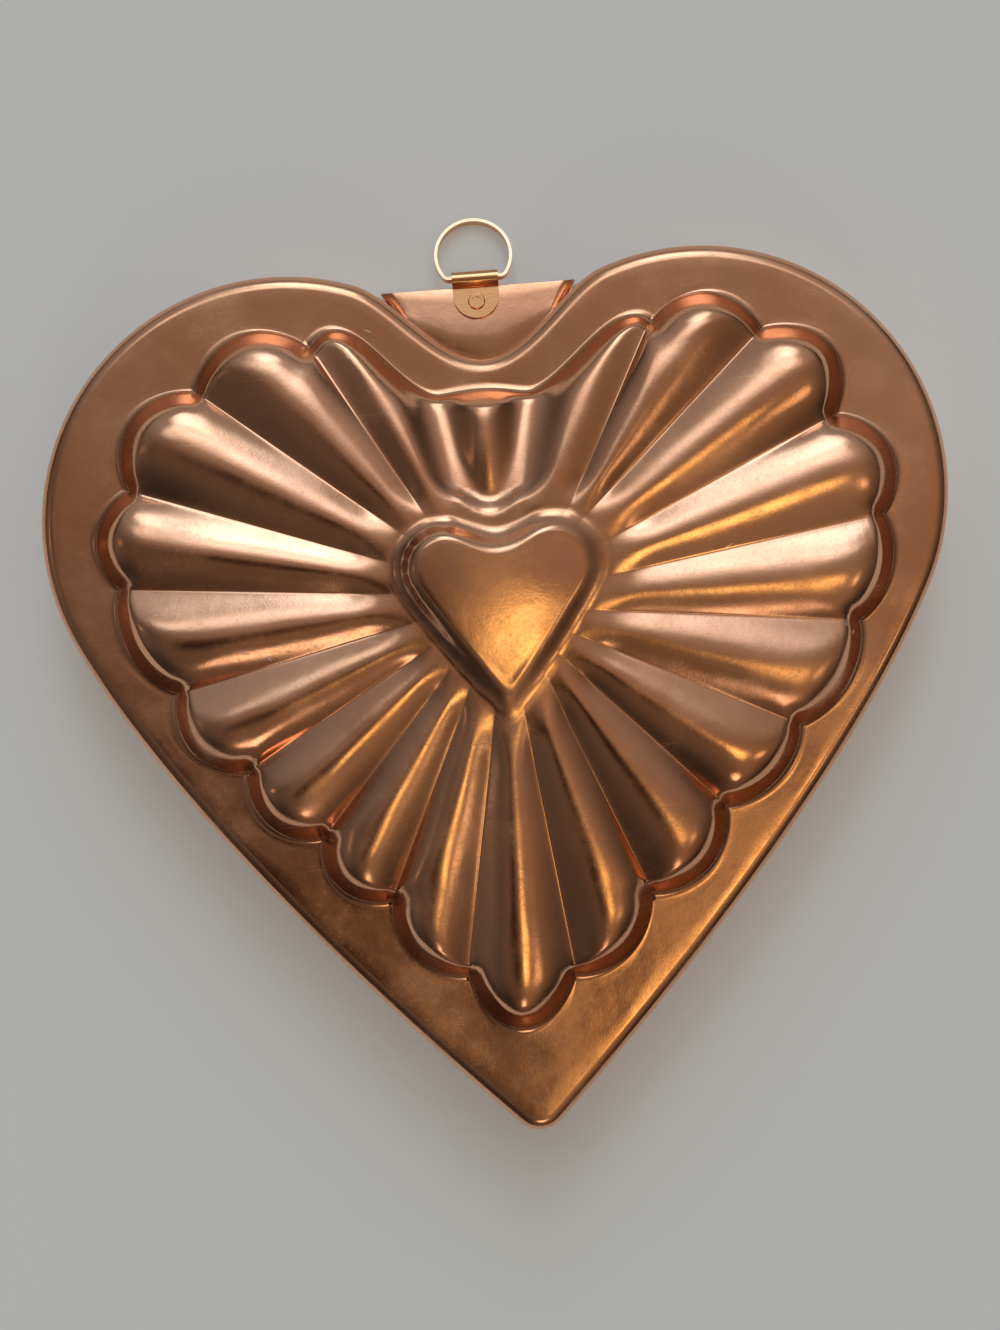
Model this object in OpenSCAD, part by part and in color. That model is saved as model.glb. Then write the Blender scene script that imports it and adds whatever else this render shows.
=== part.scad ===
/* Heart cake mould: one pressed copper sheet with a fluted crown, standing on
   its rim, with a small strap, a rivet and a swinging hanging ring.
   Millimetres. +Z points up through the crown and +Y points to the ring.
   Angles of the petals are clockwise from +Y, about the middle of the flutes. */

/* [Outline] */
// Width of the heart across its two lobes
heart_w = 233.4; // [200.4:1:266.4]
// Radius of the rounded tip
tip_r = 7.5; // [6:0.5:10]

/* [Heights] */
// Thickness of the sheet
sheet_t = 0.8; // [0.6:0.1:1.2]
// Height of the flat band above the rim plane
band_z = 34; // [26:1:44]
// Radius where the band turns into the side wall
shoulder_r = 3.8; // [3:0.2:5]
// Draft of the side wall in degrees
draft = 2; // [1:0.5:5]
// Width of the flat rim outside the side wall's foot
rim_w = 0.9; // [0.6:0.1:2]

/* [Petals] */
// Height of a petal's ridge above the band, at its outer end
ridge_end = 7.8; // [6.6:0.2:9]
// Height of the ridges where they meet the centre heart
ridge_top = 10.8; // [9.8:0.2:12.6]
// Width of the steep wall round each petal's end, seen from above
end_wall_w = 3; // [2.4:0.1:3.4]
// Height of the tongue at the cleft above the valleys beside it
tongue_h = 5; // [3:0.2:5.4]

/* [Centre heart] */
// Height of its flat top above the ridges
centre_h = 5.2; // [3:0.2:7]
// Distance from the foot of its slope to the petals' inner ends
gutter_w = 1; // [0.6:0.1:2]

/* [Web and hanger] */
// How far the web's straight edge lies behind the front of the lobes
web_back = 5.25; // [4:0.25:7]
// Height of the web's top at its straight edge
web_z = 3.2; // [2.6:0.1:4]
// Fall of the web towards its edge in degrees
web_fall = 5; // [3:0.5:7]
// Width of the strap
strap_w = 12.4; // [11:0.2:13]
// Thickness of the strap's sheet
strap_t = 0.5; // [0.4:0.1:0.6]
// Distance from the web's edge to the rivet
rivet_back = 4.3; // [4:0.1:4.8]
// Diameter of the rivet's shank
rivet_d = 2.6; // [2:0.1:3]
// Width of the ring's strip, across the ring's plane
ring_w = 2.6; // [2.2:0.1:3.2]
// Thickness of the ring's strip
ring_t = 0.8; // [0.7:0.1:1]
// Length of the ring from its bar to its far edge
ring_len = 17.2; // [15.6:0.2:18.6]

/* [Hidden] */
$fn = 48;

copper = [0.72, 0.42, 0.28];
dark_copper = [0.60, 0.34, 0.22];

// Proportions of the heart, as parts of its width
lobe_r = 0.2708 * heart_w;
lobe_x = heart_w / 2 - lobe_r;
lobe_y = 0.18 * heart_w;
cleft_y = 0.3423 * heart_w;
tip_y = 0.508 * heart_w;
flute_y = 0.0733 * heart_w;

// Flutes: one entry per crease, from the cleft round to the tip. Angles are in
// degrees, and reach is the crease's outer end as a part of the outline's radius
crease_right = [13, 32.1, 47.7, 64.8, 81.2, 97.1, 116.6, 136.5, 157, 173];
crease_left = [14.8, 33, 51.3, 69.1, 83.8, 101.5, 119.4, 138.6, 155.5, 170.5];
inner_right = [10.6, 39.2, 48.5, 64.1, 80.5, 99.4, 117.9, 136.6, 154, 173.1];
inner_left = [18, 37.4, 51.7, 66.9, 81.7, 99.2, 118.5, 138.6, 155.5, 171.9];
reach_right = [0.729, 0.78, 0.82, 0.796, 0.849, 0.864, 0.86, 0.814, 0.793, 0.776];
reach_left = [0.709, 0.778, 0.797, 0.815, 0.839, 0.838, 0.821, 0.79, 0.782, 0.792];
bulge_right = [0.27, 0.60, 0.76, 0.64, 0.38, 0.36, 0.38, 0.49, 0.45];
bulge_left = [0.43, 0.61, 0.64, 0.58, 0.39, 0.55, 0.55, 0.58, 0.47];
bulge_tip = 1.0;
bulge_top = 0.11;

crease_a = concat(crease_right, [for (i = [9:-1:0]) 360 - crease_left[i]]);
inner_a = concat(inner_right, [for (i = [9:-1:0]) 360 - inner_left[i]]);
reach = concat(reach_right, [for (i = [9:-1:0]) reach_left[i]]);
bulge = concat(bulge_right, [bulge_tip], [for (i = [8:-1:0]) bulge_left[i]], [bulge_top]);
petals = len(crease_a);
petal_steps = 6;

// Steepness of a petal's two sides: 0.8 is a sharp crease, above 1 a soft one
sharp = 0.8;
function sides(k) =
    k == 0 ? [1.8, 0.55] : k == petals - 2 ? [0.55, 1.8] :
    k == petals - 1 ? [1.5, 1.5] : [sharp, sharp];

// Small helpers
function mix(a, b, f) = a + (b - a) * f;
function clamp(v) = max(0, min(1, v));
function smooth(v) = let (c = clamp(v)) c * c * (3 - 2 * c);
// From 0 to 1, rounded over the fraction low at its foot and high at its head
function rise(v, low, high) = let (c = clamp(v), m = 1 / (1 - low / 2 - high / 2))
    c < low ? m * c * c / (2 * low) :
    c > 1 - high ? 1 - m * pow(1 - c, 2) / (2 * high) :
    m * (c - low / 2);
// Bump from 0 through 1 to 0, with its own steepness at each end
function bump(t, s) = let (a = s[0], b = s[1], p = a / (a + b))
    t <= 0 || t >= 1 ? 0 :
    pow(t, a) * pow(1 - t, b) / (pow(p, a) * pow(1 - p, b));
// Point at the clockwise angle a and radius r about the middle of the flutes
function polar(a, r) = [r * sin(a), flute_y + r * cos(a)];
function turn_of(p) = let (a = atan2(p[0], p[1] - flute_y)) a < 0 ? a + 360 : a;
function half_turn(a) = a > 180 ? 360 - a : a;
function side_of(a) = a > 180 ? -1 : 1;

// Heart curve: right half, from the cleft to the tip
function arc_pts(c, r, from, to, n) =
    [for (i = [0:n]) let (a = mix(from, to, i / n)) c + r * [cos(a), sin(a)]];
function bezier(a, b, c, d, n) =
    [for (i = [1:n - 1]) let (t = i / n, u = 1 - t)
        u * u * u * a + 3 * u * u * t * b + 3 * u * t * t * c + t * t * t * d];
// lobe = [x, y, r], ends = [cleft y, tip y, tip r], turns = [start, end, tip] of
// the arcs in degrees, pulls = lengths of the four curve handles
function half_heart(lobe, ends, turns, pulls, n) = let (
    c = [lobe[0], lobe[1]],
    tip_c = [0, ends[1] + ends[2]],
    cleft = [0, ends[0]],
    on = c + lobe[2] * [cos(turns[0]), sin(turns[0])],
    off = c + lobe[2] * [cos(turns[1]), sin(turns[1])],
    low = tip_c + ends[2] * [cos(turns[2]), sin(turns[2])])
    concat([cleft],
        bezier(cleft, cleft + [pulls[0], 0],
            on - pulls[1] * [sin(turns[0]), -cos(turns[0])], on, n),
        arc_pts(c, lobe[2], turns[0], turns[1], 3 * n),
        bezier(off, off + pulls[2] * [sin(turns[1]), -cos(turns[1])],
            low - pulls[3] * [sin(turns[2]), -cos(turns[2])], low, 2 * n),
        arc_pts(tip_c, ends[2], turns[2], -90, n));

// Tables over the half turn: radius, and the outward normal of the outline
function radius_table(pts) =
    [for (p = pts) [half_turn(turn_of(p)), norm(p - [0, flute_y])]];
function normal_at(pts, i) =
    i == 0 ? [0, 1] : i == len(pts) - 1 ? [0, -1] :
    let (d = pts[i + 1] - pts[i - 1]) [-d[1], d[0]] / norm(d);
function normal_table(pts, axis) =
    [for (i = [0:len(pts) - 1]) [half_turn(turn_of(pts[i])), normal_at(pts, i)[axis]]];

outline = half_heart([lobe_x, lobe_y, lobe_r], [cleft_y, -tip_y, tip_r],
    [110, -26, -45.5], heart_w * [0.0493, 0.0471, 0.18, 0.257], 10);
outline_r = radius_table(outline);
outline_nx = normal_table(outline, 0);
outline_ny = normal_table(outline, 1);

// The centre heart: foot of its slope, and edge of its flat top
foot_r = radius_table(half_heart(
    heart_w * [0.0615, 0.1135, 0.0585], heart_w * [0.1565, -0.0574, 0.0107],
    [100, -35, -42], heart_w * [0.0171, 0.0171, 0.0514, 0.0686], 8));
top_r = radius_table(half_heart(
    heart_w * [0.056, 0.111, 0.0315], heart_w * [0.124, -0.0111, 0.0086],
    [100, -35, -42], heart_w * [0.0214, 0.0171, 0.0257, 0.0514], 8));

function on_curve(table, a) = polar(a, lookup(half_turn(a), table));
function outline_normal(a) =
    let (h = half_turn(a),
         n = [side_of(a) * lookup(h, outline_nx), lookup(h, outline_ny)])
    n / norm(n);

// Petals
crease_out = [for (k = [0:petals - 1]) let (a = crease_a[k])
    polar(a, reach[k] * lookup(half_turn(a), outline_r))];
crease_in = [for (k = [0:petals - 1])
    polar(inner_a[k], lookup(half_turn(inner_a[k]), foot_r) + gutter_w)];

// Rings of points: one on the band outside the petals' outline, then insets from
// it, first in widths of the end wall, then as fractions of the rest of a crease
wall_foot = 1.2;
wall_rings = [-wall_foot / end_wall_w, 0, 0.4, 1, 1.45, 2];
field_rings = [0.1, 0.24, 0.4, 0.58, 0.78, 1];
petal_rings = len(wall_rings) + len(field_rings);
function inset(i, length) =
    let (w = len(wall_rings), near = wall_rings[w - 1] * end_wall_w)
    i < w ? max(0, wall_rings[i] * end_wall_w) : mix(near, length, field_rings[i - w]);
function crease_at(k, i) = let (d = crease_in[k] - crease_out[k], l = norm(d))
    crease_out[k] + d * inset(i, l) / l;

// Point in plan of ring i in petal k, at the fraction t from crease to crease
function plan_at(k, t, i) = let (
    a = crease_at(k, i),
    b = crease_at((k + 1) % petals, i),
    f = i < len(wall_rings) ? 0 : field_rings[i - len(wall_rings)],
    round = mix(bulge[k], 0.12, 1 - pow(1 - f, 1.2)))
    mix(a, b, t) + [a[1] - b[1], b[0] - a[0]] / 2 * round * bump(t, sides(k));

// Tilt of the end wall in degrees, and its height, over the distance inside the
// petals' outline
wall_tilts = [[-wall_foot, 0], [0, 52], [0.5, 58], [end_wall_w, 58],
    [end_wall_w + 0.8, 50], [end_wall_w + 1.6, 44], [end_wall_w + 2.6, 31],
    [end_wall_w + 4.2, 18], [end_wall_w + 11, 14]];
wall_step = 0.1;
wall_heights = [for (x = -wall_foot, z = 0; x < end_wall_w + 11;
    z = z + wall_step * tan(lookup(x + wall_step / 2, wall_tilts)),
    x = x + wall_step) [x, z]];

// Distance from p to a petal's outer curve
arc_steps = 12;
arcs = [for (k = [0:petals - 1])
    [for (i = [0:arc_steps]) plan_at(k, i / arc_steps, 1)]];
function to_line(p, a, b) = let (d = b - a) norm(a + d * clamp((p - a) * d / (d * d)) - p);
function to_arc(p, arc) = min([for (i = [0:arc_steps - 1]) to_line(p, arc[i], arc[i + 1])]);
// The lower of two heights, blended over k
function soft_low(a, b, k) = let (h = clamp(0.5 + 0.5 * (b - a) / k))
    mix(b, a, h) - k * h * (1 - h);

// Heights above the band over the way s along a petal: sharp creases, the two
// soft valleys beside the tongue, and the ridges
seat = 0.6;
crease_top = ridge_top - 1.6;
valley_top = 0.76 * ridge_top;
function crease(s) = crease_top * (1 - pow(1 - s, 2.2))
    + (ridge_top - seat - crease_top) * smooth((s - 0.84) / 0.16);
function valley(s) = valley_top * (1 - pow(1 - s, 1.3));
function ridge(s) = mix(ridge_end, ridge_top, 1 - pow(1 - s, 2.6));
function is_side(k) = k == 0 || k == petals - 2;

// Cross-section of a petal: 0 at its creases and 1 on its ridge. Beside the
// tongue the ridge lies off the middle, behind a soft valley
crown = 0.64;
valley_half = 0.07;
function across(k, t, s) = let (u = k == 0 ? t : 1 - t)
    is_side(k) && u < crown ? rise((u - valley_half) / (crown - valley_half), 0.3, 0.5) :
    let (v = is_side(k) ? (u - crown) / (1 - crown) : abs(2 * t - 1))
    1 - pow(v, mix(2.8, 2, smooth(s / 0.4)));
function tongue(t, s) = let (
    side = (2 * t - 1) / mix(0.58, 0.68, clamp(2 * s)),
    end = max(0, (s - 0.35) / 0.53))
    tongue_h * rise(1 - sqrt(side * side + pow(end, 2.4)), 0.25, 0.72);
function relief(k, t, p, s) = let (
    soft = is_side(k) ? smooth(k == 0 ? t : 1 - t) : 1,
    low = mix(valley(s), crease(s), soft),
    flank = k == petals - 1 ? valley(s) + tongue(t, s)
        : low + (ridge(s) - low) * across(k, t, s))
    soft_low(lookup(to_arc(p, arcs[k]), wall_heights), flank, 1);

// Side wall, rim and web
foot_fillet = 1.5;
web_fillet = 2;
web_foot_z = web_z + 0.7;
wall_top = [shoulder_r * (cos(draft) - 1), band_z + shoulder_r * (sin(draft) - 1)];
// Distance outside the outline at which a foot fillet of radius r ends at level z
function foot_off(z, r) = wall_top[0] + r * cos(draft)
    + (wall_top[1] - z - r * (1 - sin(draft))) * tan(draft);
rim_off = foot_off(sheet_t, foot_fillet) + rim_w;
rim_lobe_r = lobe_r + rim_off;
web_y = lobe_y + rim_lobe_r - web_back;
web_corner_x = lobe_x - sqrt(pow(rim_lobe_r, 2) - pow(web_y - lobe_y, 2));
web_corner_a = atan2(web_corner_x, web_y - flute_y);
// 1 in the middle of the web, 0 from its corners on
function in_web(a) = 1 - smooth((half_turn(a) / web_corner_a - 0.6) / 0.4);
function web_plane(y) = web_z + (web_y - y) * tan(web_fall);

// Points of one column outside the petals, each as [point, normal]
function raised(p, z) = [p[0], p[1], z];
function profile(a) = let (
    h = on_curve(outline_r, a),
    n = outline_normal(a),
    w = in_web(a),
    z = mix(sheet_t, web_foot_z, w),
    r = mix(foot_fillet, web_fillet, w),
    off = foot_off(z, r),
    steep = 90 - draft,
    foot = h + n * off,
    edge = half_turn(a) < web_corner_a
        ? [(web_y - flute_y) * tan(a), web_y] : h + n * rim_off,
    bend = mix(foot, edge, 0.4))
    concat(
        [for (b = [0, 30, 60, steep])
            [raised(h + n * shoulder_r * (sin(b) - 1),
                 band_z + shoulder_r * (cos(b) - 1)),
             raised(n * sin(b), cos(b))]],
        [for (b = [steep, 45, 0])
            [raised(foot - n * r * sin(b), z + r * (1 - cos(b))),
             raised(n * sin(b), cos(b))]],
        [for (p = [bend, edge])
            [raised(p, mix(sheet_t, web_plane(p[1]), w)), [0, 0, 1]]]);

// The whole sheet as rows of points, from the centre outwards
columns = [for (k = [0:petals - 1]) for (i = [0:petal_steps - 1])
    [k, (1 - cos(180 * i / petal_steps)) / 2]];
centre_rings = [1, 0.72, 0.34, 0];
centre_z = band_z + ridge_top + centre_h;

ring_rows = [for (i = [petal_rings - 1:-1:1]) [for (c = columns) let (
    p = plan_at(c[0], c[1], i),
    out = plan_at(c[0], c[1], 1),
    end = plan_at(c[0], c[1], petal_rings - 1))
    raised(p, band_z + relief(c[0], c[1], p, norm(p - out) / norm(end - out)))]];
inner_row = ring_rows[0];
outer_row = ring_rows[petal_rings - 2];
inner_turns = [for (p = inner_row) turn_of(p)];
// The side wall's columns are drawn together round the sharp tip
function to_tip(a) = let (d = a - 180) 180 + d * mix(0.35, 1, smooth(abs(d) / 30));
outer_turns = [for (p = outer_row) to_tip(turn_of(p))];
centre_rows = [for (s = centre_rings) [for (j = [0:len(columns) - 1]) let (a = inner_turns[j])
    raised(mix(on_curve(foot_r, a), on_curve(top_r, a), s),
        mix(inner_row[j][2], centre_z, rise(s, 0.5, 0.32)))]];
profiles = [for (a = outer_turns) profile(a)];
band_row = [for (j = [0:len(columns) - 1]) let (
    p = [outer_row[j][0], outer_row[j][1]],
    q = profiles[j][0][0],
    d = [q[0], q[1]] - p)
    raised(p + d * min(wall_foot / norm(d), 0.6), band_z)];
profile_rings = len(profiles[0]);
profile_rows = [for (i = [0:profile_rings - 1]) [for (p = profiles) p[i][0]]];

rows = concat(centre_rows, ring_rows, [band_row], profile_rows);
row_count = len(rows);
col_count = len(columns);
first_profile = row_count - profile_rings;

function unit(v) = v / norm(v);
function normal(i, j) =
    i == 0 ? [0, 0, 1] :
    i >= first_profile ? profiles[j][i - first_profile][1] :
    let (l = (j + col_count - 1) % col_count, r = (j + 1) % col_count)
    unit(cross(rows[i + 1][j] - rows[i - 1][j], rows[i][l] - rows[i][r]));
under_rows = [for (i = [0:row_count - 1]) [for (j = [0:col_count - 1])
    rows[i][j] - unit(normal(i, j)) * sheet_t]];

module sheet() {
    per_side = row_count * col_count + 1;
    middle = [0, (rows[0][0][1] + flute_y) / 2, centre_z];
    points = concat([middle], [for (r = rows) each r],
        [middle - [0, 0, sheet_t]], [for (r = under_rows) each r]);
    function at(i, j) = 1 + i * col_count + j % col_count;
    top = [for (j = [0:col_count - 1]) each concat(
        [[0, at(0, j), at(0, j + 1)]],
        [for (i = [0:row_count - 2]) each let (
            a = at(i, j), b = at(i + 1, j), c = at(i + 1, j + 1), d = at(i, j + 1))
            [[a, b, c], [a, c, d]]])];
    under = [for (f = top) [f[0], f[2], f[1]] + per_side * [1, 1, 1]];
    last = row_count - 1;
    rim = [for (j = [0:col_count - 1]) each let (
        a = at(last, j), b = at(last, j + 1))
        [[a, a + per_side, b], [b, a + per_side, b + per_side]]];
    polyhedron(points, concat(top, under, rim), convexity = 8);
}

// Hanger: its own frame has its origin at the middle of the web's edge,
// +Y pointing outwards along the web's slope and +Z away from the web
hanger_x = -0.7;
seat_gap = 0.02;
shank_gap = 0.04;
loop_in = sqrt(pow(ring_w, 2) + pow(ring_t, 2)) / 2 + 0.15;
loop_out = loop_in + strap_t;
loop_tuck = 0.3;
loop_y = loop_out - loop_tuck;
leaf_lap = 0.6;
tab_r = strap_w / 2;
drill = 5;

// Rivet: a round head with a shallow dimple, a shank and a flat tail
rivet_head_d = 4.6;
rivet_head_h = 0.7;
rivet_head_slope = 0.3;
rivet_tail_d = 4.2;
rivet_tail_h = 0.6;
dimple_d = 2.4;
dimple_h = 0.35;
tab_margin = 2.1;
tab_back = rivet_back + rivet_head_d / 2 + tab_margin;

module hanger_frame() {
    translate([hanger_x, web_y, web_z]) rotate([-web_fall, 0, 0]) children();
}

module rivet_hole() {
    translate([0, -rivet_back, -drill])
        cylinder(h = 2 * drill, d = rivet_d + 2 * shank_gap);
}

module mould() {
    color(copper) difference() {
        sheet();
        hanger_frame() rivet_hole();
    }
}

// Two leaves folded together, with the round loop for the ring's bar
module strap() {
    color(copper) hanger_frame() difference() {
        union() {
            translate([0, 0, seat_gap]) linear_extrude(2 * strap_t) {
                translate([0, tab_r - tab_back]) circle(tab_r);
                translate([-tab_r, tab_r - tab_back])
                    square([strap_w, tab_back - tab_r + leaf_lap]);
            }
            translate([-tab_r, 0, seat_gap])
                cube([strap_w, loop_y, strap_t]);
            translate([-tab_r, loop_y, loop_out + seat_gap]) rotate([0, 90, 0])
                cylinder(h = strap_w, r = loop_out);
        }
        translate([-tab_r - 1, loop_y, loop_out + seat_gap]) rotate([0, 90, 0])
            cylinder(h = strap_w + 2, r = loop_in);
        rivet_hole();
    }
}

module rivet() {
    head_z = 2 * strap_t + 2 * seat_gap;
    tail_z = -sheet_t - seat_gap;
    color(dark_copper) hanger_frame() translate([0, -rivet_back, 0])
        difference() {
            union() {
                translate([0, 0, head_z])
                    cylinder(h = rivet_head_h, d1 = rivet_head_d,
                        d2 = rivet_head_d - 2 * rivet_head_slope);
                translate([0, 0, tail_z - rivet_tail_h / 2])
                    cylinder(h = head_z - tail_z + rivet_tail_h, d = rivet_d);
                translate([0, 0, tail_z - rivet_tail_h])
                    cylinder(h = rivet_tail_h, d = rivet_tail_d);
            }
            translate([0, 0, head_z + rivet_head_h - dimple_h])
                cylinder(h = 2 * dimple_h, d = dimple_d);
        }
}

// Ring: a flat strip on edge, bent to a D, its bar on the joint's axis
loop_dy = loop_y * cos(web_fall) + (loop_out + seat_gap) * sin(web_fall);
loop_dz = (loop_out + seat_gap) * cos(web_fall) - loop_y * sin(web_fall);
joint_y = web_y + loop_dy;
joint_z = web_z + loop_dz;
corner_r = 2.4;
bar_gap = 0.6;
half_bar = tab_r + bar_gap;
ring_gap = 0.05;
// Radius, to a hundredth, that leaves a straight bar of that half length
// between the corners
ring_r = round(50 * (ring_len + pow(half_bar, 2) / (ring_len - 2 * corner_r))) / 100;
chord = ring_len - ring_r;
ring_reach = ring_len - ring_t / 2;
// Lean at which the ring's far edge just clears the table
ring_lean = asin((joint_z - ring_gap) / norm([ring_reach, ring_w / 2]))
    - atan2(ring_w / 2, ring_reach);

// Circle of radius r cut straight at the distance h, its corners rounded to c
module rounded_d(r, h, c) {
    x = sqrt(pow(r - c, 2) - pow(h - c, 2));
    touch = [x, c - h] * (r + 0.1) / (r - c);
    difference() {
        circle(r, $fn = 96);
        translate([-2 * r, -2 * r - h]) square([4 * r, 2 * r]);
        for (s = [-1, 1])
            polygon([[s * x, c - h], [s * touch[0], touch[1]],
                [s * 1.3 * r, touch[1] - 1], [s * 1.3 * r, -h - 1], [s * x, -h - 1]]);
    }
    for (s = [-1, 1]) translate([s * x, c - h]) circle(c);
}

module ring() {
    color(copper) translate([hanger_x, joint_y, joint_z])
        rotate([-ring_lean, 0, 0]) translate([0, chord - ring_t / 2, -ring_w / 2])
            linear_extrude(ring_w) difference() {
                rounded_d(ring_r, chord, corner_r);
                rounded_d(ring_r - ring_t, chord - ring_t, corner_r - ring_t);
            }
}

mould();
strap();
rivet();
ring();
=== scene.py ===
import bisect
from math import atan2, cos, degrees, pi, radians, sin, sqrt, tan

import bmesh
import bpy
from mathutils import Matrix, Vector, noise


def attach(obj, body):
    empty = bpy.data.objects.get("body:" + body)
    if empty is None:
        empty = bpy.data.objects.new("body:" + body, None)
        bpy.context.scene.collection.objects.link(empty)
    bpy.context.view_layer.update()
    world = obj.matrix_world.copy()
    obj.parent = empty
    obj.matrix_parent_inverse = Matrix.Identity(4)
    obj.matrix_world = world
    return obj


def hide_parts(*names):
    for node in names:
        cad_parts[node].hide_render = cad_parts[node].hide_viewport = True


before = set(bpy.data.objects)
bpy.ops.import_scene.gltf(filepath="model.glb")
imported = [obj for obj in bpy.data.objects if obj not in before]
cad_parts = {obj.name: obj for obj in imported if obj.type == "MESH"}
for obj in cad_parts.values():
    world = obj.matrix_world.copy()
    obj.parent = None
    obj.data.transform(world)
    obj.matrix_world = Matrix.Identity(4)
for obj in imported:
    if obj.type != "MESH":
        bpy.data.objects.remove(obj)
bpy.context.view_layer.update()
mm = 0.001


# Camera straight above the mould, turned a little, as the photo was taken
shot = {"place": (-0.00176, 0.0013, 0.620), "turn": -4.3, "lens": 82.5, "sensor": 36}


def addCamera():
    data = bpy.data.cameras.new("photoCamera")
    data.sensor_fit = "HORIZONTAL"
    data.sensor_width = shot["sensor"]
    data.lens = shot["lens"]
    data.clip_start = 0.01
    cam = bpy.data.objects.new("photoCamera", data)
    cam.location = shot["place"]
    cam.rotation_euler = (0, 0, radians(shot["turn"]))
    bpy.context.collection.objects.link(cam)
    bpy.context.scene.camera = cam


addCamera()
print("camera placed")


# Small node helpers
def newMaterial(name):
    mat = bpy.data.materials.new(name)
    mat.use_nodes = True
    tree = mat.node_tree
    tree.nodes.clear()
    out = tree.nodes.new("ShaderNodeOutputMaterial")
    shader = tree.nodes.new("ShaderNodeBsdfPrincipled")
    tree.links.new(shader.outputs["BSDF"], out.inputs["Surface"])
    return mat, tree, shader


def noiseAt(tree, source, scale, detail=3, rough=0.5, stretch=(1, 1, 1), turn=(0, 0, 0), shift=(0, 0, 0)):
    place = tree.nodes.new("ShaderNodeMapping")
    place.inputs["Scale"].default_value = stretch
    place.inputs["Rotation"].default_value = turn
    place.inputs["Location"].default_value = shift
    tree.links.new(source, place.inputs["Vector"])
    n = tree.nodes.new("ShaderNodeTexNoise")
    n.inputs["Scale"].default_value = scale
    n.inputs["Detail"].default_value = detail
    n.inputs["Roughness"].default_value = rough
    tree.links.new(place.outputs["Vector"], n.inputs["Vector"])
    return n.outputs["Fac"]


def spread(tree, value, low, high, toLow=0.0, toHigh=1.0):
    r = tree.nodes.new("ShaderNodeMapRange")
    r.interpolation_type = "SMOOTHSTEP"
    r.inputs["From Min"].default_value = low
    r.inputs["From Max"].default_value = high
    r.inputs["To Min"].default_value = toLow
    r.inputs["To Max"].default_value = toHigh
    tree.links.new(value, r.inputs["Value"])
    return r.outputs["Result"]


def mixColour(tree, factor, a, b):
    m = tree.nodes.new("ShaderNodeMix")
    m.data_type = "RGBA"
    tree.links.new(factor, m.inputs["Factor"])
    for socket, value in (("A", a), ("B", b)):
        target = [s for s in m.inputs if s.name == socket and s.type == "RGBA"][0]
        if isinstance(value, tuple):
            target.default_value = (*value, 1)
        else:
            tree.links.new(value, target)
    return [s for s in m.outputs if s.type == "RGBA"][0]


def reckon(tree, kind, a, b):
    m = tree.nodes.new("ShaderNodeMath")
    m.operation = kind
    for k, value in enumerate((a, b)):
        if isinstance(value, (int, float)):
            m.inputs[k].default_value = value
        else:
            tree.links.new(value, m.inputs[k])
    return m.outputs["Value"]


# Rubbed copper: two tones of the metal, a fine speckled grain, short scratches
# in several directions, smeared duller spots, and a few single nicks. A nick is
# its place on the mould, its length and width in millimetres and its turn
copperLook = {
    "bright": (0.90, 0.475, 0.295),
    "deep": (0.80, 0.385, 0.215),
    "stain": (0.62, 0.31, 0.18),
    "speck": (0.70, 0.36, 0.20),
    "roughness": 0.17,
    "grain": 0.045,
    "ripple": 4.5,
    "scratches": 0.22,
    "nicks": [],
    "nickTone": (0.93, 0.80, 0.70),
}


def nickMask(tree, coords, x, y, long, thin, turn):
    place = tree.nodes.new("ShaderNodeMapping")
    place.vector_type = "TEXTURE"
    place.inputs["Location"].default_value = (x * mm, y * mm, 0)
    place.inputs["Rotation"].default_value = (0, 0, radians(turn))
    place.inputs["Scale"].default_value = (long * mm / 2, thin * mm / 2, 10)
    tree.links.new(coords, place.inputs["Vector"])
    ragged = noiseAt(tree, coords, 900, 3, 0.6)
    far = tree.nodes.new("ShaderNodeVectorMath")
    far.operation = "LENGTH"
    tree.links.new(place.outputs["Vector"], far.inputs[0])
    away = reckon(tree, "ADD", far.outputs["Value"], reckon(tree, "MULTIPLY", ragged, 1.2))
    return spread(tree, away, 1.15, 1.65, 1.0, 0.0)


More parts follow.
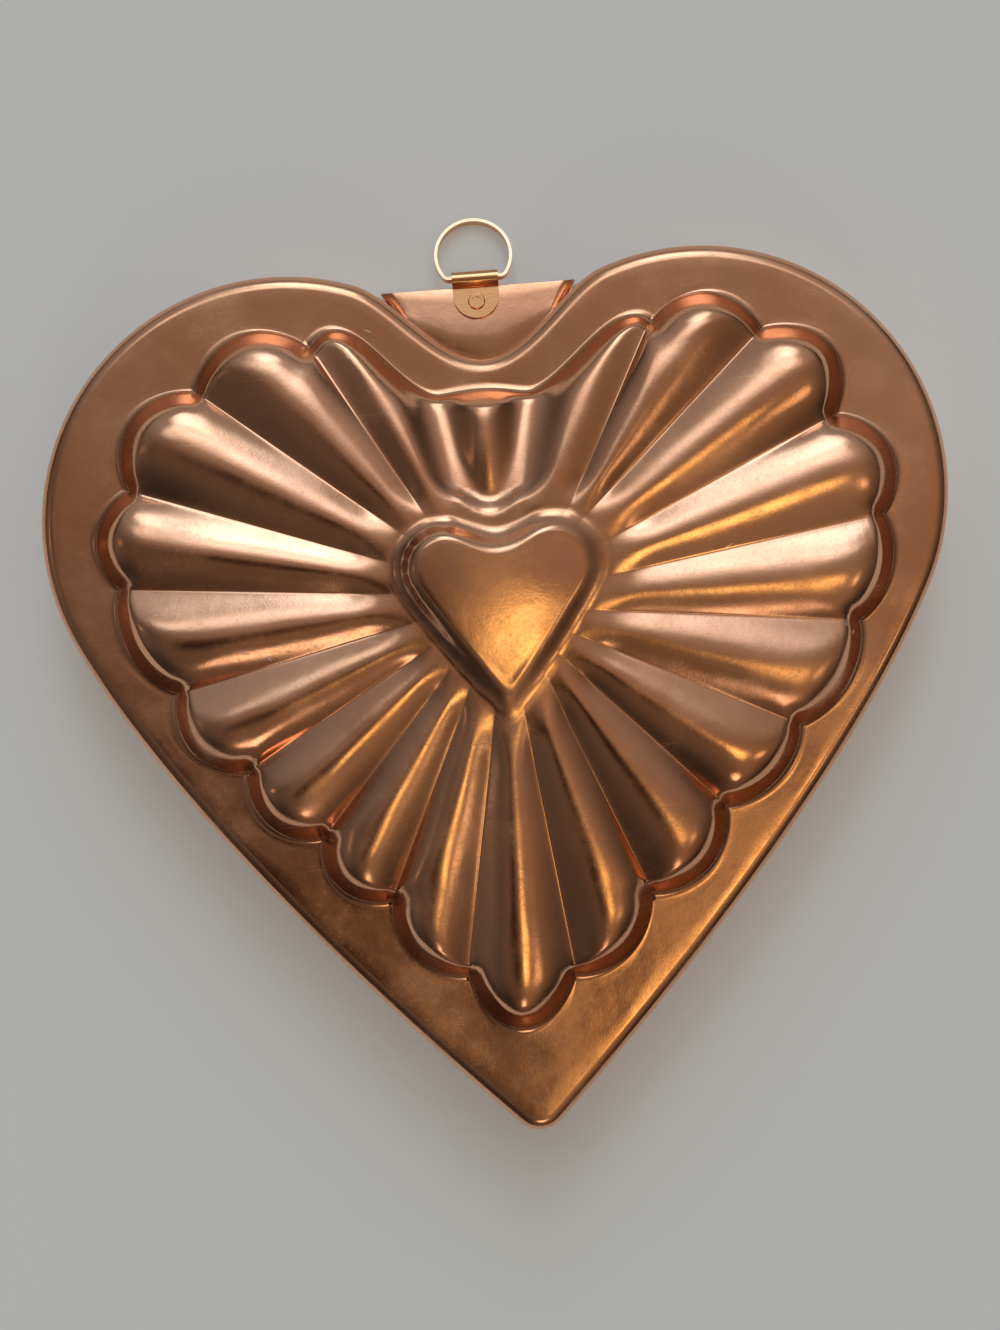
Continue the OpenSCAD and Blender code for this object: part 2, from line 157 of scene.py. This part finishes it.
def copperMaterial(name, look, shift=(0, 0, 0)):
    mat, tree, shader = newMaterial(name)
    coords = tree.nodes.new("ShaderNodeTexCoord").outputs["Object"]
    clouds = noiseAt(tree, coords, 14, 4, 0.55, shift=shift)
    blots = noiseAt(tree, coords, 55, 5, 0.6, shift=(shift[0] + 3, shift[1], shift[2]))
    grain = noiseAt(tree, coords, 1500, 2, 0.6)
    specks = noiseAt(tree, coords, 900, 4, 0.75, shift=(0, 5, 0))
    tone = mixColour(tree, spread(tree, clouds, 0.35, 0.65), look["bright"], look["deep"])
    tone = mixColour(tree, spread(tree, blots, 0.60, 0.74, 0.0, 0.35), tone, look["stain"])
    tone = mixColour(tree, spread(tree, specks, 0.50, 0.72, 0.0, 0.45), tone, look["speck"])

    lines = []
    for k, angle in enumerate((0.35, 1.25, 2.2)):
        streak = noiseAt(tree, coords, 1, 2, 0.4, stretch=(40, 1500, 60),
                         turn=(0, 0, angle), shift=(k * 7.1, k * 3.3, 0))
        lines.append(spread(tree, streak, 0.70, 0.80))
    scratch = reckon(tree, "MAXIMUM", reckon(tree, "MAXIMUM", lines[0], lines[1]), lines[2])

    rough = spread(tree, blots, 0.3, 0.75, look["roughness"] - 0.06, look["roughness"] + 0.13)
    rough = reckon(tree, "ADD", rough, reckon(tree, "MULTIPLY", scratch, 0.08))
    rough = reckon(tree, "ADD", rough, spread(tree, specks, 0.45, 0.75, -0.02, 0.07))
    height = reckon(tree, "SUBTRACT", grain, reckon(tree, "MULTIPLY", scratch, look["scratches"]))
    ripples = noiseAt(tree, coords, 150, 2, 0.5, shift=(2, 9, 0))
    height = reckon(tree, "ADD", height, reckon(tree, "MULTIPLY", ripples, look["ripple"]))
    for nick in look["nicks"]:
        mask = nickMask(tree, coords, *nick)
        tone = mixColour(tree, mask, tone, look["nickTone"])
        rough = reckon(tree, "ADD", rough, reckon(tree, "MULTIPLY", mask, 0.2))
        height = reckon(tree, "SUBTRACT", height, mask)
    tree.links.new(tone, shader.inputs["Base Color"])
    tree.links.new(rough, shader.inputs["Roughness"])
    shader.inputs["Metallic"].default_value = 1.0
    bump = tree.nodes.new("ShaderNodeBump")
    bump.inputs["Strength"].default_value = look["grain"]
    bump.inputs["Distance"].default_value = 0.00025
    tree.links.new(height, bump.inputs["Height"])
    tree.links.new(bump.outputs["Normal"], shader.inputs["Normal"])
    return mat


nicks = [(86.6, 5.6, 3.2, 1.0, 75), (88.2, 3.0, 1.6, 0.8, 70), (-65.5, 9.0, 3.0, 0.6, 165),
         (-59.5, 7.2, 1.8, 0.6, 120), (-29.0, 89.0, 2.6, 0.4, -25), (58, 27, 3.0, 0.4, 25)]
copper = copperMaterial("rubbedCopper", {**copperLook, "nicks": nicks})
polished = {**copperLook, "roughness": 0.16, "grain": 0.05, "ripple": 2.0, "scratches": 0.4}
strapLook = {**polished, "bright": (0.86, 0.45, 0.21), "deep": (0.76, 0.35, 0.15)}
ringLook = {**polished, "bright": (0.86, 0.52, 0.33), "deep": (0.76, 0.40, 0.22)}
strapCopper = copperMaterial("strapCopper", strapLook, (5, 2, 0))
ringCopper = copperMaterial("ringCopper", ringLook, (8, 4, 0))
print("copper mixed")


# Pressed sheet. Sizes in millimetres, angles in degrees clockwise from the ring
mould = {
    "width": 233.4, "tipRadius": 7.5, "sheet": 0.8, "bandHeight": 34.0,
    "shoulder": 3.8, "draft": 2.0, "rimWidth": 0.9, "rimEdge": 0.14,
    # heights above the band; the two petals beside the tongue are lower by ridgeDrop
    "ridgeEnd": 10.4, "ridgeDrop": 3.8, "ridgeTop": 10.8,
    "creaseStart": 4.2, "creaseTop": 9.2, "creaseRound": 0.35,
    "shallowCreases": {3: 0.92, 4: 0.72, 5: 0.70, 6: 0.80},
    "valleyStart": 2.6, "valleyTop": 8.2, "valleyFlat": 2.2, "valleyCrown": 0.64,
    "tongueTop": 8.4, "tongueRise": 1.2,
    # tilt of the wall round the petals, by the distance inside its outline
    "wallTilts": [(-2.2, 0), (-1.1, 14), (0, 42), (0.6, 57), (3.5, 58), (4.1, 50), (5.1, 43),
                  (6.2, 28), (8, 18), (12, 11), (18, 7), (30, 3)],
    "wallBlend": 1.4, "bandStart": 2.25,
    "centreHeight": 4.3, "centreDome": 0.9, "domeWidth": 19.0, "domePlace": (-14, 14), "gutter": 1.0,
    "webBack": 5.25, "webTop": 3.2, "webFall": 5.0, "webFootRise": 0.7,
    "footFillet": 1.5, "webFillet": 1.6,
    "columnsPerPetal": 24, "dents": 0.10,
    "creasesRight": [13, 32.1, 47.7, 64.8, 81.2, 97.1, 116.6, 136.5, 157, 173],
    "creasesLeft": [14.8, 33, 51.3, 69.1, 83.8, 101.5, 119.4, 138.6, 155.5, 170.5],
    "innerRight": [10.6, 39.2, 48.5, 64.1, 80.5, 99.4, 117.9, 136.6, 154, 173.1],
    "innerLeft": [18, 37.4, 51.7, 66.9, 81.7, 99.2, 118.5, 138.6, 155.5, 171.9],
    "reachRight": [0.729, 0.78, 0.82, 0.796, 0.849, 0.864, 0.86, 0.814, 0.793, 0.776],
    "reachLeft": [0.709, 0.778, 0.797, 0.815, 0.839, 0.838, 0.821, 0.79, 0.782, 0.792],
    "bulgeRight": [0.27, 0.60, 0.76, 0.64, 0.38, 0.36, 0.38, 0.49, 0.45],
    "bulgeLeft": [0.43, 0.61, 0.64, 0.58, 0.39, 0.55, 0.55, 0.58, 0.47],
    "bulgeTip": 1.0, "bulgeTop": 0.11,
}

wide = mould["width"]
lobeR = 0.2708 * wide
lobeX = wide / 2 - lobeR
lobeY = 0.18 * wide
cleftY = 0.3423 * wide
tipY = 0.508 * wide
fluteY = 0.0733 * wide


def mix(a, b, f):
    return a + (b - a) * f


def clamp(v):
    return max(0.0, min(1.0, v))


def smooth(v):
    c = clamp(v)
    return c * c * (3 - 2 * c)


def rise(v, low, high):  # 0 to 1, rounded over the part low at its foot and high at its head
    m = 1 / (1 - low / 2 - high / 2)
    c = clamp(v)
    if c < low:
        return m * c * c / (2 * low)
    if c > 1 - high:
        return 1 - m * (1 - c) ** 2 / (2 * high)
    return m * (c - low / 2)


def bump(t, s):  # 0, 1, 0, with its own steepness at each end
    if t <= 0 or t >= 1:
        return 0.0
    a, b = s
    p = a / (a + b)
    return t ** a * (1 - t) ** b / (p ** a * (1 - p) ** b)


def facing(degree):
    return Vector((cos(radians(degree)), sin(radians(degree))))


def polar(a, r):  # clockwise angle a and radius r about the middle of the flutes
    return Vector((r * sin(radians(a)), fluteY + r * cos(radians(a))))


def turnOf(p):
    return degrees(atan2(p.x, p.y - fluteY)) % 360


def halfTurn(a):
    return 360 - a if a > 180 else a


def curvePoints(a, b, c, d, n):
    out = []
    for i in range(1, n):
        t = i / n
        u = 1 - t
        out.append(u ** 3 * a + 3 * u * u * t * b + 3 * u * t * t * c + t ** 3 * d)
    return out


def arcPoints(centre, r, start, end, n):
    return [centre + r * facing(mix(start, end, i / n)) for i in range(n + 1)]


def halfHeart(lobe, ends, turns, pulls, n):  # right half, from the cleft to the tip
    c = Vector(lobe[:2])
    tipC = Vector((0, ends[1] + ends[2]))
    cleft = Vector((0, ends[0]))
    on = c + lobe[2] * facing(turns[0])
    off = c + lobe[2] * facing(turns[1])
    low = tipC + ends[2] * facing(turns[2])
    points = [cleft]
    inwards = facing(turns[0] + 90)
    points += curvePoints(cleft, cleft + Vector((pulls[0], 0)), on + pulls[1] * inwards, on, n)
    points += arcPoints(c, lobe[2], turns[0], turns[1], 3 * n)
    sideways, upwards = facing(turns[1] - 90), facing(turns[2] + 90)
    points += curvePoints(off, off + pulls[2] * sideways, low + pulls[3] * upwards, low, 2 * n)
    points += arcPoints(tipC, ends[2], turns[2], -90, n)
    return points


class Curve:  # a half heart read by angle: radius and outward normal
    def __init__(self, points):
        self.angles, self.radii, self.normals = [], [], []
        last = len(points) - 1
        for i, p in enumerate(points):
            self.angles.append(min(turnOf(p), 180.0) if i < last else 180.0)
            self.radii.append((p - Vector((0, fluteY))).length)
            if i == 0:
                self.normals.append(Vector((0, 1)))
            elif i == last:
                self.normals.append(Vector((0, -1)))
            else:
                d = points[i + 1] - points[i - 1]
                self.normals.append(Vector((-d.y, d.x)).normalized())

    def find(self, a):
        h = halfTurn(a)
        i = min(max(bisect.bisect_right(self.angles, h) - 1, 0), len(self.angles) - 2)
        span = self.angles[i + 1] - self.angles[i]
        return i, clamp((h - self.angles[i]) / span) if span else 0.0

    def radius(self, a):
        i, f = self.find(a)
        return mix(self.radii[i], self.radii[i + 1], f)

    def point(self, a):
        return polar(a, self.radius(a))

    def normal(self, a):
        i, f = self.find(a)
        n = mix(self.normals[i], self.normals[i + 1], f)
        return Vector((-n.x if a > 180 else n.x, n.y)).normalized()


def scaled(values):
    return [wide * v for v in values]


outline = Curve(halfHeart([lobeX, lobeY, lobeR], [cleftY, -tipY, mould["tipRadius"]],
                          [110, -26, -45.5], scaled([0.0493, 0.0471, 0.18, 0.257]), 60))
centreFoot = Curve(halfHeart(scaled([0.0615, 0.1135, 0.0585]), scaled([0.1565, -0.0574, 0.0107]),
                             [100, -35, -42], scaled([0.0171, 0.0171, 0.0514, 0.0686]), 40))
centreTop = Curve(halfHeart(scaled([0.0560, 0.1110, 0.0315]), scaled([0.1240, -0.0111, 0.0086]),
                            [100, -35, -42], scaled([0.0214, 0.0171, 0.0257, 0.0514]), 40))

creaseA = mould["creasesRight"] + [360 - a for a in reversed(mould["creasesLeft"])]
innerA = mould["innerRight"] + [360 - a for a in reversed(mould["innerLeft"])]
reach = mould["reachRight"] + list(reversed(mould["reachLeft"]))
bulge = mould["bulgeRight"] + [mould["bulgeTip"]] + list(reversed(mould["bulgeLeft"])) + [mould["bulgeTop"]]
petals = len(creaseA)
creaseOut = [polar(a, r * outline.radius(a)) for a, r in zip(creaseA, reach)]
creaseIn = [polar(a, centreFoot.radius(a) + mould["gutter"]) for a in innerA]
ringDepth = 6.0  # how far the rows that follow a petal's end go in
band = mould["bandHeight"]
gutterH = mould["ridgeTop"]


def wallTable(step=0.05):  # height of a petal's end wall over the distance inside its outline
    tilts = mould["wallTilts"]
    x, z, k, out = tilts[0][0], 0.0, 0, []
    while x < tilts[-1][0]:
        out.append((x, z))
        while tilts[k + 1][0] <= x:
            k += 1
        (x0, t0), (x1, t1) = tilts[k], tilts[k + 1]
        z += step * tan(radians(mix(t0, t1, (x + step / 2 - x0) / (x1 - x0))))
        x += step
    return out


wallHeights = wallTable()


def wallAt(x):
    f = (x - wallHeights[0][0]) / (wallHeights[1][0] - wallHeights[0][0])
    if f <= 0:
        return 0.0
    i = min(int(f), len(wallHeights) - 2)
    return mix(wallHeights[i][1], wallHeights[i + 1][1], f - i)


def softLow(a, b, k):  # the lower of two heights, blended over k
    h = clamp(0.5 + 0.5 * (b - a) / k)
    return mix(b, a, h) - k * h * (1 - h)


def across(k, t, s, width):  # cross-section of a petal, 0 at its creases and 1 on its ridge
    if k in (0, petals - 2):  # a soft valley on one side
        u = t if k == 0 else 1 - t
        flat, crown = mould["valleyFlat"] / width, mould["valleyCrown"]
        if u < crown:
            return rise((u - flat) / (crown - flat), 0.24, 0.5)
        v = (u - crown) / (1 - crown)
    else:
        v = abs(2 * t - 1)
    r = mould["creaseRound"] / width
    gap = sqrt((1 - v) ** 2 + 4 * r * r) - 2 * r
    v = 1 - gap
    soft = mix(2.5, 1.0, clamp(s / 0.45))
    return 1 - (sqrt(v * v + soft * soft) - soft) / (sqrt(1 + soft * soft) - soft)


def petalPlan(k, t, inset, field):
    ends = []
    for c in (k, (k + 1) % petals):
        d = creaseIn[c] - creaseOut[c]
        along = inset if field is None else mix(ringDepth, d.length, field)
        ends.append(creaseOut[c] + d * along / d.length)
    a, b = ends
    f = 0.0 if field is None else field
    bow = mix(bulge[k], 0.12, 1 - (1 - f) ** 1.2)
    sides = {0: (1.8, 0.55), petals - 2: (0.55, 1.8), petals - 1: (1.5, 1.5)}.get(k, (0.8, 0.8))
    p = mix(a, b, t) + Vector((a.y - b.y, b.x - a.x)) / 2 * bow * bump(t, sides)
    away = p - Vector((0, fluteY))
    short = centreFoot.radius(turnOf(p)) + mould["gutter"] - away.length
    return p + away.normalized() * short * smooth((f - 0.4) / 0.6) if short > 0 else p


def toArc(p, arc):  # distance from a point to the petal's outer curve
    best = 1e9
    for a, b in zip(arc, arc[1:]):
        d = b - a
        f = clamp((p - a).dot(d) / d.length_squared)
        best = min(best, (a + d * f - p).length_squared)
    return sqrt(best)


arcs = [[petalPlan(k, i / 40, 0, None) for i in range(41)] for k in range(petals)]


def petalHeight(k, t, p, s, width):
    if k == petals - 1:
        floor = valleyHeight(min(1, s * (1 + 0.12 * (2 * t - 1) ** 2)))
        side = (2 * t - 1) / mix(0.70, 0.80, clamp(2 * s))
        end = max(0.0, (s - 0.35) / 0.57)
        top = mould["tongueTop"] + mould["tongueRise"] * s
        z = mix(floor, top, rise(1 - sqrt(side * side + end ** 2.4), 0.18, 0.7))
        return softLow(wallAt(toArc(p, arcs[k])), z, mould["wallBlend"])
    low = creaseHeight(s)
    high = mix(mould["ridgeEnd"], gutterH, 1 - (1 - s) ** 2)
    if k in (0, petals - 2):
        low = mix(valleyHeight(min(1, s * 1.12)), low, smooth(t if k == 0 else 1 - t))
        high = mix(mould["ridgeEnd"] - mould["ridgeDrop"], gutterH, 1 - (1 - s) ** 2)
    shallow = mould["shallowCreases"]
    low = high - (high - low) * mix(shallow.get(k, 1), shallow.get(k + 1, 1), t)
    z = low + (high - low) * across(k, t, s, width)
    return softLow(wallAt(toArc(p, arcs[k])), z, mould["wallBlend"])


def creaseHeight(s):
    main = mix(mould["creaseStart"], mould["creaseTop"], 1 - (1 - s) ** 2)
    return main + (gutterH - 0.1 - mould["creaseTop"]) * smooth((s - 0.84) / 0.16)


def valleyHeight(s):
    main = mix(mould["valleyStart"], mould["valleyTop"], 1 - (1 - s) ** 1.4)
    return main + (gutterH - 0.3 - mould["valleyTop"]) * smooth((s - 0.86) / 0.14)


# Side wall, rim and web
draft = mould["draft"]
shoulder = mould["shoulder"]
wallTop = (shoulder * (cos(radians(draft)) - 1), band + shoulder * (sin(radians(draft)) - 1))


def footOff(z, r):
    return (wallTop[0] + r * cos(radians(draft))
            + (wallTop[1] - z - r * (1 - sin(radians(draft)))) * tan(radians(draft)))


rimOff = footOff(mould["sheet"], mould["footFillet"]) + mould["rimWidth"]
rimLobeR = lobeR + rimOff
webY = lobeY + rimLobeR - mould["webBack"]
webCornerX = lobeX - sqrt(rimLobeR ** 2 - (webY - lobeY) ** 2)
webCornerA = degrees(atan2(webCornerX, webY - fluteY))
webTop = mould["webTop"]
webFootZ = webTop + mould["webFootRise"]


def inWeb(a):
    return 1 - smooth((halfTurn(a) / webCornerA - 0.86) / 0.14)


def webPlane(y):
    return webTop + (webY - y) * tan(radians(mould["webFall"]))


def wallPoint(a, zone, v):
    h = outline.point(a)
    n = outline.normal(a)
    if zone == "shoulder":
        p = h + n * shoulder * (sin(radians(v)) - 1)
        return Vector((p.x, p.y, band + shoulder * (cos(radians(v)) - 1)))
    w = inWeb(a)
    z = mix(mould["sheet"], webFootZ, w)
    r = mix(mould["footFillet"], mould["webFillet"], w)
    foot = h + n * footOff(z, r)
    if zone == "foot":
        p = foot - n * r * sin(radians(v))
        return Vector((p.x, p.y, z + r * (1 - cos(radians(v)))))
    if zone == "wall":
        top = wallPoint(a, "shoulder", 90 - draft)
        low = wallPoint(a, "foot", 90 - draft)
        return mix(top, low, v)
    edge = Vector(((webY - fluteY) * tan(radians(a)), webY)) if halfTurn(a) < webCornerA else h + n * rimOff
    p = mix(foot, edge, v)
    flat = mix(mould["sheet"], webPlane(p.y), w)
    # the web's plane meets its fillet smoothly
    return Vector((p.x, p.y, mix(z, flat, smooth(v / 0.4))))


def toTip(a):
    d = a - 180
    return 180 + d * mix(0.35, 1, smooth(abs(d) / 30))


def part(n, start=0.0, end=1.0):
    return [mix(start, end, i / n) for i in range(n + 1)]


def sheetRows():
    rows = [("flat", v) for v in (0, 0.06, 0.14, 0.26, 0.4, 0.55, 0.7, 0.82, 0.92)]
    rows += [("slope", v) for v in part(13, 1.0, 0.0)]
    rows += [("gutter", 0.5)]
    rows += [("field", 1 - v ** 0.85) for v in part(26)[:-1]]
    rows += [("ring", v) for v in (6, 5.5, 5.0, 4.5, 4.1, 3.7, 3.3, 2.9, 2.5, 2.1, 1.7, 1.35,
                                   1.0, 0.65, 0.3, 0)]
    rows += [("band", v) for v in (0.25, 0.55, 0.9, 1.3, 1.8, mould["bandStart"])]
    rows += [("flatBand", v) for v in (0.15, 0.3, 0.5, 0.75)]
    rows += [("shoulder", v) for v in part(9, 0, 90 - draft)]
    rows += [("wall", v) for v in (0.33, 0.67)]
    rows += [("foot", v) for v in part(5, 90 - draft, 0)]
    rows += [("flange", v) for v in (0.13, 0.27, 0.4, 0.6, 0.8, 1)]
    return rows


def dent(p, strength):  # slow, shallow unevenness of thin sheet
    q = Vector((p.x, p.y, 0)) * 0.03
    coarse, fine = q + Vector((3.1, 0, 0)), q * 2.3 + Vector((0, 7.7, 0))
    return strength * (noise.noise(coarse) + 0.5 * noise.noise(fine))


def plateau(p):  # the centre heart's slightly domed top
    x, y = mould["domePlace"]
    away = (Vector((p.x, p.y)) - Vector((x, fluteY + y))).length_squared
    dome = mould["centreDome"] * (1 - away / mould["domeWidth"] ** 2)
    return band + gutterH + mould["centreHeight"] + dome


def sheetColumn(j, rows):
    per = mould["columnsPerPetal"]
    k, i = divmod(j % (petals * per), per)
    u = i / per
    if k == petals - 1:
        t = u
    elif k == 0:
        t = sin(pi * u / 2)
    elif k == petals - 2:
        t = 1 - cos(pi * u / 2)
    else:
        t = (1 - cos(pi * u)) / 2
    outer = petalPlan(k, t, 0, None)
    inner = petalPlan(k, t, 0, 1.0)
    length = (outer - inner).length
    aIn = turnOf(inner)
    first, second = creaseA[k], creaseA[(k + 1) % petals]
    aOut = toTip(mix(first, second + (360 if second < first else 0), u) % 360)
    shoulderStart = wallPoint(aOut, "shoulder", 0)
    outwards = Vector((shoulderStart.x - outer.x, shoulderStart.y - outer.y))
    rimWidth = (petalPlan(k, 0, 0, None) - petalPlan(k, 1, 0, None)).length
    rimHeight = petalHeight(k, t, outer, 0, rimWidth)
    base = petalHeight(k, t, inner, 1.0, 8)
    middle = Vector((0, fluteY + 3))
    points = []
    for zone, v in rows:
        if zone == "flat":
            p = mix(middle, centreTop.point(aIn), v)
            q = Vector((p.x, p.y, plateau(p)))
        elif zone == "slope":
            p = mix(centreFoot.point(aIn), centreTop.point(aIn), v)
            q = Vector((p.x, p.y, mix(band + base, plateau(centreTop.point(aIn)), rise(v, 0.5, 0.36))))
        elif zone == "gutter":
            p = mix(centreFoot.point(aIn), inner, v)
            q = Vector((p.x, p.y, band + base))
        elif zone in ("field", "ring"):
            inset, field = (None, v) if zone == "field" else (v, None)
            p = petalPlan(k, t, inset, field)
            width = (petalPlan(k, 0, inset, field) - petalPlan(k, 1, inset, field)).length
            s = clamp((p - outer).length / length)
            q = Vector((p.x, p.y, band + petalHeight(k, t, p, s, width)))
        elif zone == "band":
            p = outer + outwards * min(v / outwards.length, 0.6)
            q = Vector((p.x, p.y, band + rimHeight * wallAt(-v) / wallAt(0)))
        elif zone == "flatBand":
            start = outer + outwards * min(mould["bandStart"] / outwards.length, 0.6)
            q = mix(Vector((start.x, start.y, band)), shoulderStart, v)
        else:
            q = wallPoint(aOut, zone, v)
        if zone in ("flat", "slope", "flatBand") or (zone == "shoulder" and v < 60):
            q.z += dent(q, mould["dents"])
        points.append(q)
    return points


# The two soft valleys beside the top petal run out in a smooth wave
easing = {"turns": 5, "reach": 9, "fade": 5, "strength": 0.5}


def easeValleys(columns, rows):
    per = mould["columnsPerPetal"]
    count = len(columns)
    reach = easing["reach"]
    zones = [i for i, (zone, v) in enumerate(rows)
             if zone in ("ring", "band", "flatBand") or (zone == "field" and v < 0.75)]
    for centre in (0, (petals - 1) * per):
        for turn in range(easing["turns"]):
            for i in zones:
                old = {j: columns[j % count][i].copy() for j in range(centre - reach, centre + reach + 1)}
                for j in range(centre - reach + 1, centre + reach):
                    pull = easing["strength"] * smooth((reach - abs(j - centre)) / easing["fade"])
                    columns[j % count][i] = mix(old[j], (old[j - 1] + old[j + 1]) / 2, pull)


# The edge of the rim is a small round, and the inside follows the outside at
# the sheet's thickness, so each column runs from the crown out and back again
def closeColumns(columns):
    last = len(columns[0]) - 1
    count = len(columns)
    r = mould["rimEdge"]
    thick = mould["sheet"]
    normals = []
    for j, column in enumerate(columns):
        before, after = columns[j - 1], columns[(j + 1) % count]
        line = [Vector((0, 0, 1))]
        for i in range(1, last + 1):
            down = column[min(i + 1, last)] - column[i - 1]
            n = down.cross(after[i] - before[i])
            line.append(n.normalized() if n.z > 0 else -n.normalized())
        normals.append(line)
    closed = []
    for j, column in enumerate(columns):
        along = columns[(j + 1) % count][last] - columns[j - 1][last]
        out = Vector((-along.y, along.x, 0)).normalized()
        edge = column[last]
        n = normals[j][last]
        turns = [radians(b) for b in (0, 30, 60, 90)]
        lip = [edge + out * r * (sin(b) - 1) + n * r * (cos(b) - 1) for b in turns]
        under = [edge + out * r * (cos(b) - 1) - n * (thick - r + r * sin(b)) for b in turns]
        # the inside needs only every second row, apart from the last few at the rim
        inside = [column[i] - normals[j][i] * thick for i in range(last - 1, -1, -1)
                  if i % 2 == 0 or i > last - 8]
        closed.append([p * mm for p in column[:-1] + lip + under + inside])
    return closed


def makeMould():
    rows = sheetRows()
    count = petals * mould["columnsPerPetal"]
    columns = [sheetColumn(j, rows) for j in range(count)]
    easeValleys(columns, rows)
    table = closeColumns(columns)
    steps = len(table[0]) - 1
    bm = bmesh.new()
    bmesh.ops.create_grid(bm, x_segments=count, y_segments=steps, size=1)
    for v in bm.verts:
        j = round((v.co.x + 1) / 2 * count) % count
        i = round((v.co.y + 1) / 2 * steps)
        v.co = table[j][i]
    bmesh.ops.remove_doubles(bm, verts=bm.verts, dist=2e-7)
    bmesh.ops.recalc_face_normals(bm, faces=bm.faces)
    for f in bm.faces:
        f.smooth = True
    mesh = bpy.data.meshes.new("mouldSheet")
    bm.to_mesh(mesh)
    bm.free()
    piece = bpy.data.objects.new("mouldSheet", mesh)
    bpy.context.collection.objects.link(piece)
    mesh.materials.append(copper)
    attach(piece, "mould")
    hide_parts("mould")
    print("mould pressed,", len(mesh.polygons), "faces")
    return piece


makeMould()


# Strap, rivet and ring keep their CAD shape
hanger = {"strap": strapCopper, "rivet": strapCopper, "ring": ringCopper}

for node, material in hanger.items():
    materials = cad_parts[node].data.materials
    materials.clear()
    materials.append(material)
print("hanger dressed")


# Floor and light: a pale floor under a soft room. Each glow is a soft round
# patch of sky: direction, angles where it is full and where it ends, colour
studio = {
    "floor": (0.85, 0.87, 0.86),
    "floorGlow": 0.12,
    "glows": [
        ((0.22, 0.42, 1.0), 0, 58, (0.19, 0.145, 0.11)),
        ((0.05, 0.788, 0.616), 6, 18, (1.50, 2.00, 2.40)),
        ((0.04, 0.588, 0.809), 5, 15, (0.90, 1.15, 1.35)),
        ((0.03, 0.42, 0.906), 2, 12, (0.55, 0.62, 0.68)),
        ((-0.20, 0.46, 0.865), 3, 13, (0.70, 0.85, 0.95)),
        ((0.22, 0.46, 0.865), 3, 12, (0.50, 0.60, 0.70)),
        ((0.0, 0.85, 0.53), 22, 62, (0.25, 0.28, 0.31)),
        ((0.0, -0.35, 0.94), 22, 44, (0.07, 0.055, 0.04)),
        ((-0.16, -0.16, 0.97), 2, 15, (-0.13, -0.11, -0.085)),
        ((0.198, -0.22, 0.955), 2, 9.5, (2.10, 1.62, 0.58)),
        ((0.41, -0.41, 0.82), 5, 42, (0.15, 0.105, 0.06)),
        ((0.51, -0.29, 0.81), 2, 8, (0.95, 0.75, 0.45)),
        ((0.03, -0.73, 0.68), 3, 11, (1.90, 1.55, 1.15)),
        ((-0.76, 0.07, 0.64), 2, 6, (0.45, 0.32, 0.20)),
        ((0.10, -0.90, 0.40), 8, 38, (0.10, 0.07, 0.05)),
        ((0.85, 0.10, 0.50), 5, 45, (0.07, 0.06, 0.05)),
        ((-0.85, 0.05, 0.50), 5, 45, (0.09, 0.085, 0.08)),
    ],
    "dark": (0.038, 0.033, 0.029),
}


def makeFloor():
    bm = bmesh.new()
    bmesh.ops.create_grid(bm, x_segments=1, y_segments=1, size=3)
    bmesh.ops.translate(bm, verts=bm.verts, vec=(0, 0, -0.0001))
    mesh = bpy.data.meshes.new("floor")
    bm.to_mesh(mesh)
    bm.free()
    floor = bpy.data.objects.new("floor", mesh)
    bpy.context.collection.objects.link(floor)
    mat, tree, shader = newMaterial("paleFloor")
    shader.inputs["Base Color"].default_value = (*studio["floor"], 1)
    shader.inputs["Roughness"].default_value = 0.85
    seen = tree.nodes.new("ShaderNodeLightPath")
    either = reckon(tree, "MAXIMUM", seen.outputs["Is Camera Ray"], seen.outputs["Is Glossy Ray"])
    either = reckon(tree, "MAXIMUM", either, seen.outputs["Is Transmission Ray"])
    shader.inputs["Emission Color"].default_value = (1, 1, 0.97, 1)
    tree.links.new(reckon(tree, "MULTIPLY", either, studio["floorGlow"]), shader.inputs["Emission Strength"])
    mesh.materials.append(mat)


def makeRoom():
    world = bpy.data.worlds.new("studio")
    bpy.context.scene.world = world
    world.use_nodes = True
    tree = world.node_tree
    back = tree.nodes["Background"]
    way = tree.nodes.new("ShaderNodeTexCoord").outputs["Generated"]
    total = None
    for aim, full, end, colour in studio["glows"]:
        dot = tree.nodes.new("ShaderNodeVectorMath")
        dot.operation = "DOT_PRODUCT"
        tree.links.new(way, dot.inputs[0])
        dot.inputs[1].default_value = Vector(aim).normalized()
        angle = reckon(tree, "ARCCOSINE", dot.outputs["Value"], 0.0)
        glow = spread(tree, angle, radians(full), radians(end), 1.0, 0.0)
        tint = tree.nodes.new("ShaderNodeVectorMath")
        tint.operation = "SCALE"
        tint.inputs[0].default_value = colour
        tree.links.new(glow, tint.inputs["Scale"])
        if total is None:
            first = tree.nodes.new("ShaderNodeVectorMath")
            first.operation = "ADD"
            first.inputs[0].default_value = studio["dark"]
            tree.links.new(tint.outputs["Vector"], first.inputs[1])
            total = first.outputs["Vector"]
        else:
            more = tree.nodes.new("ShaderNodeVectorMath")
            more.operation = "ADD"
            tree.links.new(total, more.inputs[0])
            tree.links.new(tint.outputs["Vector"], more.inputs[1])
            total = more.outputs["Vector"]
    tree.links.new(total, back.inputs["Color"])
    back.inputs["Strength"].default_value = 1.0


makeFloor()
makeRoom()
bpy.context.scene.view_settings.view_transform = "Standard"
print("studio lit")
